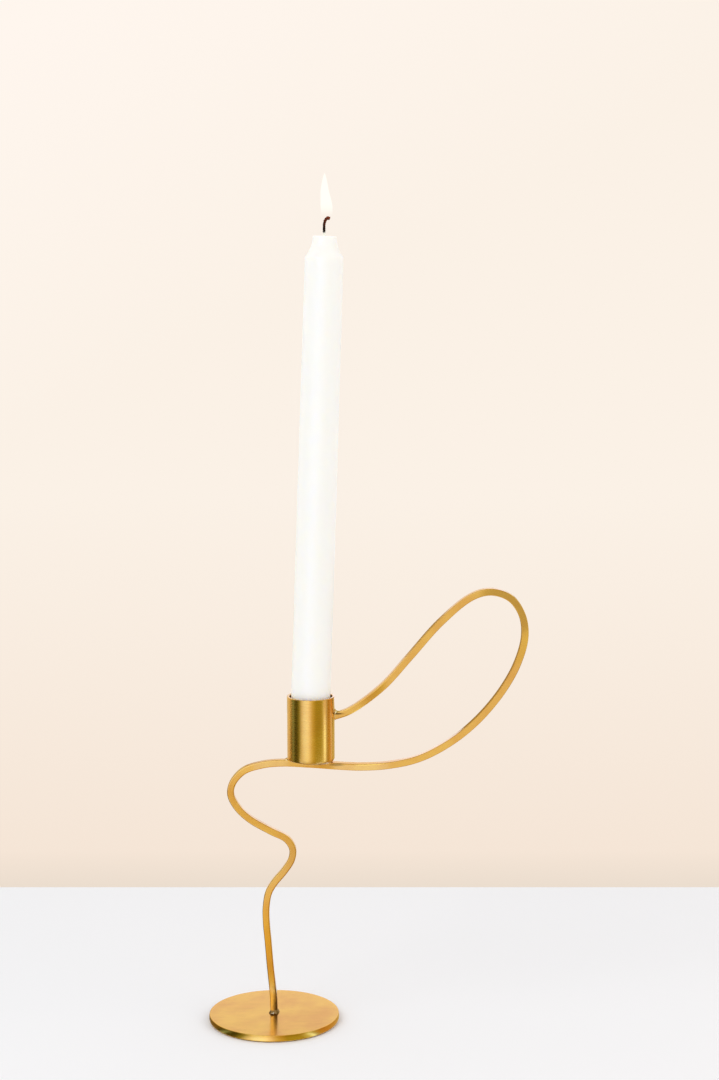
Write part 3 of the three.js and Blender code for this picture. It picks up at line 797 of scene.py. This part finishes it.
def make_surround():
    """A curved reflector round the front that lies along the table and then stands up. It shows
    only in what shines and gives the brass its bands. Each tone is set at a bearing in degrees from
    the camera's side, the right being positive, and is warmed by a tint set by the distance in
    metres from the plate's axis. Beside the plate the tones are drawn closer together, because its
    edge shows there what a far reflector would show at nearly twice the bearing."""
    tones = (
        (-125, "#4a3e1a"), (-107, "#26260c"),  # the first dark band
        (-92, "#5a6e66"), (-84, "#262c18"), (-68, "#30321a"),  # a dim gap and the second
        (-55, "#5c6034"), (-40, "#a0a6c6"), (-28, "#acbefc"), (-12, "#b6c6fc"),  # the wide bright one
        (0, "#a4a6c2"), (8, "#92927c"), (17, "#868054"), (27, "#706e34"), (53, "#706e38"),  # the dim front
        (66, "#8a9486"), (74, "#b0d0fc"), (82, "#7a8484"), (90, "#7c6c38"),  # the narrow one
        (108, "#806638"), (124, "#806c3a"),
    )
    plain, pale, warm, deep = "#ffffff", "#f4f9ff", "#f1daaa", "#ccaa60"
    tints = (  # each line shows in the part that it names, because higher parts show farther ones
        (0.0375, plain), (0.048, plain),  # the plate's edge
        (0.06, "#d0b469"), (0.11, "#debc6f"), (0.16, "#e5c865"), (0.22, warm),  # the stem
        (0.27, pale), (0.31, pale), (0.36, "#e2d5b2"),  # the S bend's right side
        (0.4, deep), (0.52, deep), (0.56, "#cfc493"), (0.585, "#dfd2c4"),  # its left side
        (0.6, "#f6e4a8"), (0.615, "#f6e4a8"),  # the level run
        (0.65, plain), (1.2, plain),  # the cup
    )
    material, tree = new_material("reflector_surround")
    place = add(tree, "ShaderNodeTexCoord").outputs["Object"]
    axes = add(tree, "ShaderNodeSeparateXYZ", {0: place}).outputs
    forward = add(tree, "ShaderNodeMath", {0: axes["Y"], 1: -1}, operation="MULTIPLY")
    bearing = add(tree, "ShaderNodeMath", {0: axes["X"], 1: forward}, operation="ARCTAN2")
    flat = add(tree, "ShaderNodeVectorMath", {0: place, 1: (1, 1, 0)}, operation="MULTIPLY")
    distance = add(tree, "ShaderNodeVectorMath", {0: flat}, operation="LENGTH")
    closer = add(tree, "ShaderNodeMapRange", {
        "Value": distance, "From Min": 0.05, "From Max": 0.14, "To Min": 1.8, "To Max": 1})
    drawn = add(tree, "ShaderNodeMath", {0: bearing, 1: closer}, operation="MULTIPLY")
    by_bearing = graded(tree, drawn, [(math.radians(d), tone) for d, tone in tones])
    both = add(tree, "ShaderNodeMix", {
        "Factor": 1, "A": by_bearing, "B": graded(tree, distance, tints)},
        data_type="RGBA", blend_type="MULTIPLY")
    surface(tree, "ShaderNodeEmission", {"Color": both, "Strength": 2.75})
    first, last = math.radians(tones[0][0]), math.radians(tones[-1][0])
    lift, reach, height, steps = 0.3 * MM, 1.2, 1.6, 60
    bearings = [between(first, last, i / steps) for i in range(steps + 1)]
    profile = ((PLATE_HIGH.x + 0.5 * MM, lift), (reach, lift), (reach, height))
    rings = [[(r * math.sin(b), -r * math.cos(b), z) for b in bearings] for r, z in profile]
    glossy_only(lofted("surround", rings, material, open_rings=True))


def make_cards():
    """Cards that only the brass shows. Pale ones stand close in front of the loop and the level run
    and brighten their faces, a narrow one gives the cup its bright line, and one lies under the
    cup's heel. Flags behind the loop and before the wall darken the bar's left arrises and the
    cup's edges, and two pale cards there brighten the tops of the level run and the crown. A card
    far at the left shows in the plate from the right, and a dim ceiling darkens what faces up.

    Each card lies across an axis at a distance in millimetres. Its outline there is in millimetres
    too, along the other two axes, and an outline of two corners is a rectangle."""
    front, back = -30, 238
    cards = (
        ("loop_card", "#e6e6fa", 1.1, "Y", front,
         ((66, 90), (175, 90), (175, 200), (119, 200), (119, 252), (66, 252))),
        ("far_card", "#e7e5dd", 1, "Y", front, ((119, 200), (175, 220))),
        ("crown_card", "#c8c5c3", 1, "Y", front, ((119, 220), (175, 252))),
        ("loop_flag", "#a68f50", 1, "Y", 60,
         ((94, 150), (150, 150), (150, 246), (54, 246), (54, 197), (94, 176))),
        ("level_card_right", "#b9c4ff", 2, "Y", front, ((34, 90), (66, 142))),
        ("level_card_left", "#bdc5ff", 1.8, "Y", front, ((-12, 130), (8, 146))),
        ("strip_card", "#c6dcff", 2.5, "Y", -18, ((47, 146), (61, 173))),
        ("heel_card", "#f4f4ff", 1.1, "Z", 120, ((4, -38), (40, -12))),
        ("edge_flag", "#26260c", 1, "Y", back, ((-640, 0), (-470, 80))),
        ("left_flag", "#e2d4a5", 1, "Y", back, ((-470, 0), (-70, 250))),
        ("right_flag", "#cdbf78", 1, "Y", back, ((110, 0), (400, 128))),
        ("middle_flag", "#b89a66", 1, "Y", back, ((-70, 125), (36, 195))),
        ("level_back", "#e3e7fe", 1.45, "Y", back,
         ((40, 130), (130, 130), (130, 262), (20, 262), (20, 197), (40, 197))),
        ("crown_back", "#e3e7fe", 1.4, "Y", back, ((110, 268), (180, 330))),
        ("side_card", "#e8dcc8", 1, "X", -1150, ((-220, 180), (220, 400))),
        ("ceiling", "#8c8064", 1, "Z", 1600, ((-1300, -1300), (1300, 1300))),
    )
    for name, tone, strength, axis, at, outline in cards:
        material, tree = new_material(name)
        surface(tree, "ShaderNodeEmission", {"Color": linear(tone), "Strength": strength})
        if len(outline) == 2:
            (left, low), (right, high) = outline
            outline = ((left, low), (right, low), (right, high), (left, high))
        place = "XYZ".index(axis)
        points = [Vector((*corner[:place], at, *corner[place:])) * MM for corner in outline]
        glossy_only(mesh_piece(name, points, [tuple(range(len(points)))], material))


def make_world(scene, studio):
    """Even light from all round. What is seen past the wall is the wall's own cream."""
    world = bpy.data.worlds.new("studio_light")
    world.use_nodes = True
    tree = world.node_tree
    tree.nodes.clear()
    even = add(tree, "ShaderNodeBackground", {
        "Color": linear("#fffefc"), "Strength": studio.ambient})
    cream = add(tree, "ShaderNodeBackground", {"Color": studio.wall_high, "Strength": 1})
    mixed = add(tree, "ShaderNodeMixShader", {0: background_rays(tree), 1: even, 2: cream})
    add(tree, "ShaderNodeOutputWorld", {"Surface": mixed})
    scene.world = world


class PlateOperator(bpy.types.Operator):
    """Make the round base plate and its felt pad"""

    bl_idname = "candle_holder.plate"
    bl_label = "Base plate and pad"

    def execute(self, context):
        sizes, finishes = context.scene.candle_holder, context.scene.candle_finishes
        # The top's lighter brass is painted light; the turned edge keeps the plain brass colours
        face, shader = brushed_brass(
            "satin_brass_plate_top_lit", finishes.plate_brass, finishes.plate_warm_lit, lacquer=0.6,
            roughness=0.2, stretch=(60, 500, 60), anisotropy=0.2, turn=0)
        reach = [sizes.bar_side * 0.75] * 3
        stain_and_shade(shader, finishes, (0, 0, PLATE_HIGH.z), reach, depth=0.75)
        edge = brushed_brass(
            "turned_brass_edge", finishes.brass, finishes.brass_warm, lacquer=0.9,
            roughness=0.22, stretch=(40, 40, 2600), anisotropy=0.8)[0]
        radius, hole = PLATE_HIGH.x, sizes.spigot / 2 + 0.3 * MM
        low, high, ease = PLATE_LOW.z, PLATE_HIGH.z, sizes.plate_edge
        belly = (radius, (low + high) / 2, 1 * MM)
        side = radius - sizes.plate_belly
        outline = eased([(hole, low, 0), (side, low, ease), belly, (side, high, ease), (hole, high, 0)])
        plate = turned("base_plate_turned", outline, face, segments=288)
        plate.data.materials.append(edge)
        for polygon in plate.data.polygons:
            if abs(polygon.normal.z) < 0.8:  # it looks sideways
                polygon.material_index = 1
        hand_over(plate, "holder", "base_plate")
        radius, low, high, ease = PAD_HIGH.x, PAD_LOW.z, PAD_HIGH.z, 0.15 * MM
        outline = eased([(0, low, 0), (radius, low, ease), (radius, high, ease), (0, high, 0)])
        felt = felt_material("pressed_felt", finishes)
        pad = turned("felt_pad", outline, felt, segments=240, closed=False)
        hand_over(pad, "holder", "base_pad")
        return {"FINISHED"}


class BarOperator(bpy.types.Operator):
    """Sweep the bent square bar"""

    bl_idname = "candle_holder.bar"
    bl_label = "Bent bar"

    def execute(self, context):
        sizes, finishes = context.scene.candle_holder, context.scene.candle_finishes
        brass, shader = brushed_brass(
            "drawn_brass_bar", finishes.brass, finishes.brass_warm, lacquer=0.9,
            roughness=0.22, stretch=(40, 1600, 1), anisotropy=0.4, along_bar=True)
        # Painted shade up the foot's right side and along the crease at the bar's end, and just past the
        # cup the torch's brown together with painted shade from the gap under the cup
        stains_and_shades = (
            ((1.4 * MM, -1.2 * MM, PLATE_HIGH.z), (3 * MM, 4 * MM, 26 * MM), 0.95),
            (bar_end() + Vector((2 * MM, -2 * MM, 1.9 * MM)), (5 * MM, 3 * MM, 0.8 * MM), 0.85),
            ((CUP_HIGH.x + 1 * MM, -2 * MM, CUP_LOW.z - 1.5 * MM), (6 * MM, 3 * MM, 1.2 * MM), 0.5),
        )
        for centre, reach, depth in stains_and_shades:
            stain_and_shade(shader, finishes, centre, reach, depth)
        bar = tree_piece("bent_bar", bar_tree(), bar_route(), {
            "Side": sizes.bar_side, "Arris": sizes.bar_arris, "Step": 0.8 * MM,
            "Waviness": sizes.bar_wave, "Material": brass}, bar_turns())
        hand_over(bar, "holder", "stem_bar")
        return {"FINISHED"}


class CupOperator(bpy.types.Operator):
    """Turn the candle cup and its floor"""

    bl_idname = "candle_holder.cup"
    bl_label = "Candle cup"

    def execute(self, context):
        sizes, finishes = context.scene.candle_holder, context.scene.candle_finishes
        brass, shader = brushed_brass(
            "turned_brass_cup", finishes.brass, finishes.brass_warm, lacquer=0.9,
            roughness=0.27, stretch=(60, 60, 2300), anisotropy=0.75)
        heel = (CUP_AXIS.x, -CUP_RADIUS, CUP_LOW.z)
        stain_and_shade(shader, finishes, bar_end(), [4 * MM] * 3, depth=0.3)
        # Painted shade: darkens and warms the front of the cup's lowest few millimetres, above the bar
        stain_and_shade(shader, finishes, heel, (16 * MM, 10 * MM, 4 * MM), depth=0.32)
        bore, low, high, lip = CUP_RADIUS - sizes.cup_wall, CUP_LOW.z, CUP_HIGH.z, sizes.cup_lip
        corners = [(bore, low, 0), (CUP_RADIUS - sizes.heel_width, low, 0.15 * MM),
                   (CUP_RADIUS, low + sizes.heel_height, 0.5 * MM), (CUP_RADIUS, high, lip),
                   (bore, high, lip)]
        cup = turned("cup_turned", eased(corners), brass, 256, CUP_AXIS.x)
        radius, high = (FLOOR_HIGH.x - FLOOR_LOW.x) / 2, FLOOR_HIGH.z
        corners = [(0, low, 0), (radius, low, lip), (radius, high, lip), (0, high, 0)]
        floor = turned("cup_floor_disc", eased(corners), brass, 192, CUP_AXIS.x, closed=False)
        for piece, node in ((cup, "cup_tube"), (floor, "cup_floor")):
            file_to_seat(piece)
            hand_over(piece, "holder", node)
        return {"FINISHED"}


def file_to_seat(piece):
    """Slants the underside of a turned piece, from level, to the slope of the cup's seat."""
    for vertex in piece.data.vertices:
        if vertex.co.z < (CUP_LOW.z + FLOOR_HIGH.z) / 2:
            vertex.co.z += seat_at(vertex.co.x) - CUP_LOW.z


class BrazingOperator(bpy.types.Operator):
    """Run the brazing at the foot, at the bar's end and under the cup"""

    bl_idname = "candle_holder.brazing"
    bl_label = "Brazing"

    def execute(self, context):
        sizes, finishes = context.scene.candle_holder, context.scene.candle_finishes
        joints = (
            (foot_bead, "torch_browned_brazing", finishes.brazing_dark, "foot_braze"),
            # the end fillet's pale colour is a painted highlight
            (end_fillet, "end_brazing_painted_highlight", finishes.brazing_painted_highlight, "loop_end_braze"),
            (seat_saddle, "filed_brazing", finishes.brazing, "cup_seat_braze"),
        )
        for make, name, metal, node in joints:
            piece = make(sizes, brazing_material(name, metal, finishes.brazing_grey))
            hand_over(piece, "holder", node)
        return {"FINISHED"}


def foot_bead(sizes, metal):
    """A small uneven bead round the bar's foot, on the plate."""
    def on_plate(p):
        return Vector((p.x, p.y, PLATE_HIGH.z))

    section = bar_section(sizes.bar_side, sizes.bar_arris, math.radians(BENDS[0][2]))
    return brazed_ring(
        "foot_bead", section, on_plate, on_plate, towards=Vector((0, 0, -1)),
        length=lambda out: 1.7 * MM, reach=lambda out: 1.1 * MM, bulge=0.5, material=metal)


def end_fillet(sizes, metal):
    """A hollow fillet round the bar's end that climbs the cup's wall above the bar."""
    towards = Vector((-math.cos(END_SLOPE), 0, -math.sin(END_SLOPE)))
    across = Vector((-math.sin(END_SLOPE), 0, math.cos(END_SLOPE)))
    end = bar_end()

    def at_end(p):
        return end + across * p.x - Vector((0, p.y, 0))

    def onto_wall(p):
        """Where a line along the bar from a point meets the cup's round wall."""
        x = p.x - CUP_AXIS.x
        a, b, c = towards.x ** 2, x * towards.x, x ** 2 + p.y ** 2 - CUP_RADIUS ** 2
        return p + towards * ((-b - math.sqrt(max(b * b - a * c, 0))) / a)

    return brazed_ring(
        "loop_end_fillet", bar_section(sizes.bar_side, easing=0.9 * MM), at_end, onto_wall, towards,
        length=lambda out: (0.4 + 3.1 * max(out.x, 0) ** 2) * MM,
        reach=lambda out: (0.5 + 3.5 * max(out.x, 0) ** 1.5) * MM, bulge=0.05, material=metal)


def seat_saddle(sizes, metal):
    """Brazing that fills between the bar's top and the cup's underside, with a toe outside the cup
    on the left and an end that stops short on the loop's side."""
    toe, swell, run_out, short, skirt = 1.2 * MM, 1.2 * MM, 3 * MM, 4.5 * MM, 1.4 * MM
    sunk = 0.1 * MM  # about how far its hidden edges lie inside the bar and the cup
    unevenness, lumps, steps, rows = 0.25, 600, 60, 8
    left, right = CUP_LOW.x - toe, CUP_HIGH.x - short
    past, near = 4 * MM, 8 * MM
    level_run = [p for p in bar_route()
                 if left - past < p.x < right + past and abs(p.z - CUP_LOW.z) < near]
    half = sizes.bar_side / 2
    rings = []
    for i in range(steps + 1):
        x = between(left, right, i / steps)
        bar_top = min(level_run, key=lambda p: abs(p.x - x)).z + half
        under_cup = CUP_RADIUS ** 2 - (x - CUP_AXIS.x) ** 2  # negative outside the cup
        fullness = min(1, (x - left) / toe, (right - x) / run_out)
        lump = 1 + unevenness * noise.noise(Vector((x, 0, 0)) * lumps)
        wide = half - sunk
        if under_cup > half ** 2:
            wide = min(half + swell * lump * fullness, math.sqrt(under_cup) - 2 * sunk)
        top = seat_at(x) + 1.5 * sunk if under_cup > 0 else bar_top + toe / 2 * fullness
        foot = Vector((half - 0.8 * sunk, bar_top - skirt * lump * max(fullness, 0.05)))
        skin = bow(foot, Vector((half, top)), Vector((wide, top)), rows)
        rings.append([(x, s.x, s.y) for s in skin] + [(x, -s.x, s.y) for s in reversed(skin)])
    return lofted("cup_seat_saddle", rings, metal, capped=True)


class CandleOperator(bpy.types.Operator):
    """Make the candle's wax, its braided wick and its flame"""

    bl_idname = "candle_holder.candle"
    bl_label = "Candle"

    def execute(self, context):
        sizes, finishes = context.scene.candle_taper, context.scene.candle_finishes
        place, length = candle_place(sizes)
        make_wax(sizes, finishes, place, length)
        make_wick(sizes, finishes, place, length)
        make_flame(finishes)
        return {"FINISHED"}


def candle_place(sizes):
    """The matrix that leans the candle in its cup, with its foot's centre at the origin, and the
    candle's length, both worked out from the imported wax."""
    up = Vector((math.sin(LEAN), 0, math.cos(LEAN)))
    rim = Vector((CUP_AXIS.x, 0, CUP_HIGH.z))
    to_foot = (rim.z - WAX_LOW.z - sizes.foot / 2 * math.sin(LEAN)) / math.cos(LEAN)
    to_top = (WAX_HIGH.z - rim.z - sizes.tip / 2 * math.sin(LEAN)) / math.cos(LEAN)
    place = Matrix.Translation(rim - up * to_foot) @ Matrix.Rotation(LEAN, 4, "Y")
    return place, to_foot + to_top


def make_wax(sizes, finishes, place, length):
    """The wax: a drawn-in foot, a long slight taper, a hollow-sided crown and a shallow pool."""
    widest, shoulder, tip, pool = (
        diameter / 2 for diameter in (sizes.diameter, sizes.shoulder, sizes.tip, sizes.pool))
    shoulder_height = length - sizes.crown
    bore, chamfer, soft = sizes.wick / 2 + 0.3 * MM, 0.8 * MM, 0.9 * MM
    body_rows, crown_rows, lip_rows, pool_rows = 70, 14, 6, 8
    outline = [(bore, 0), (sizes.foot / 2 - chamfer, 0), (sizes.foot / 2, chamfer)]
    for t in (i / body_rows for i in range(body_rows)):
        height = between(sizes.foot_length, shoulder_height, t)
        outline.append((between(widest, shoulder, t), height))
    # The crown starts a little inside the body, so that its foot shows as a fine line
    outline.append((shoulder, shoulder_height - 0.25 * MM))
    outline.append((shoulder - 0.12 * MM, shoulder_height))
    for t in (i / crown_rows for i in range(1, crown_rows + 1)):
        height = between(shoulder_height, length - soft, t)
        outline.append((tip + (shoulder - tip) * (1 - t) ** 2, height))
    for angle in (math.pi / 2 * i / lip_rows for i in range(1, lip_rows + 1)):
        outline.append((tip + soft * (math.cos(angle) - 1), length + soft * (math.sin(angle) - 1)))
    for t in (i / pool_rows for i in range(pool_rows + 1)):
        depth = sizes.pool_depth * (1 - (1 - t) ** 2) ** 0.8
        outline.append((between(pool, bore, t), length - depth))
    top = place @ Vector((0, 0, length))
    wax = turned("taper_wax", outline, wax_material("dipped_wax", finishes, top, sizes.pool), 144)
    roughen(wax, amount=0.12 * MM, scale=55, seed=3)
    wax.data.transform(place)
    hand_over(wax, "taper", "candle_wax")


def make_wick(sizes, finishes, place, length):
    """The wick through the whole candle, curled over at its burnt tip."""
    rise, curl, sway = sizes.wick_rise, sizes.wick_curl, sizes.wick_sway
    corners = [
        (0, 0.3 * MM), (0, length * 0.5), (0, length - 8 * MM), (0, length - sizes.pool_depth),
        (-0.7 * sway, length + rise * 0.15), (-sway, length + rise * 0.4),
        (-sway, length + rise * 0.62), (-0.4 * sway, length + rise * 0.8),
        (0.2 * curl, length + rise * 0.94), (0.5 * curl, length + rise),
        (curl, length + rise * 0.97),
    ]
    route = smooth_route([place @ Vector((x, 0, z)) for x, z in corners])
    tip, top = route[-1], place @ Vector((0, 0, length))
    wick = tree_piece("braided_wick", rope_tree(), route, {
        "Diameter": sizes.wick, "Pitch": 3.4 * MM, "Step": 0.3 * MM, "Swelling": 1.25,
        "Material": char_material("burnt_cotton", finishes, tip, top)})
    roughen(wick, amount=0.12 * MM, scale=1800, seed=5)
    hand_over(wick, "taper", "candle_wick")


def make_flame(finishes):
    """The flame: straight on its left, leaning over to the left on its right, pointed above."""
    low, high, left = WICK_HIGH.z - 4 * MM, WICK_HIGH.z + 23.3 * MM, 27.5 * MM
    # The share of the height, the width there, and how far its middle lies from the left side, in
    # millimetres. The first and the last are points
    levels = (
        (-0.0183, 0, 3.1), (0, 2, 3.1), (0.1, 4.6, 3.1), (0.22, 6.2, 3.412), (0.36, 6.4, 3.2),
        (0.5, 5.6, 2.8), (0.64, 4.5, 2.25), (0.78, 3.3, 2.2), (0.9, 1.9, 2.2), (0.97, 0.8, 2.2),
        (1, 0, 2.2),
    )
    rings = [level_ring(left + middle * MM, between(low, high, share), width / 2 * MM, 40, squash=0.9)
             for share, width, middle in levels]
    flame = lofted("flame", rings, flame_material("candle_flame", finishes, low, high))
    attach(flame, "taper")


class HolderPanel(bpy.types.Panel):
    """The holder's sizes, colours and makers"""

    bl_idname = "VIEW3D_PT_candle_holder"
    bl_label = "Taper Candle Holder"
    bl_space_type = "VIEW_3D"
    bl_region_type = "UI"
    bl_category = "Candle Holder"

    def draw(self, context):
        for operator in OPERATORS:
            self.layout.operator(operator.bl_idname)
        for group in GROUPS:
            box = self.layout.box()
            settings = getattr(context.scene, group)
            for name in settings.__annotations__:
                box.prop(settings, name)


GROUPS = {
    "candle_holder": HolderSizes,
    "candle_taper": CandleSizes,
    "candle_finishes": HolderFinishes,
    "candle_studio": StudioSettings,
}
OPERATORS = (
    StudioOperator, PlateOperator, BarOperator, CupOperator, BrazingOperator, CandleOperator,
)


def register():
    for group, kind in GROUPS.items():
        bpy.utils.register_class(kind)
        setattr(bpy.types.Scene, group, bpy.props.PointerProperty(type=kind))
    for kind in (*OPERATORS, HolderPanel):
        bpy.utils.register_class(kind)


def unregister():
    for kind in reversed((*OPERATORS, HolderPanel)):
        bpy.utils.unregister_class(kind)
    for group, kind in reversed(GROUPS.items()):
        delattr(bpy.types.Scene, group)
        bpy.utils.unregister_class(kind)


def main():
    register()
    for operator in OPERATORS:
        family, name = operator.bl_idname.split(".")
        getattr(getattr(bpy.ops, family), name)()


if __name__ == "__main__":
    main()
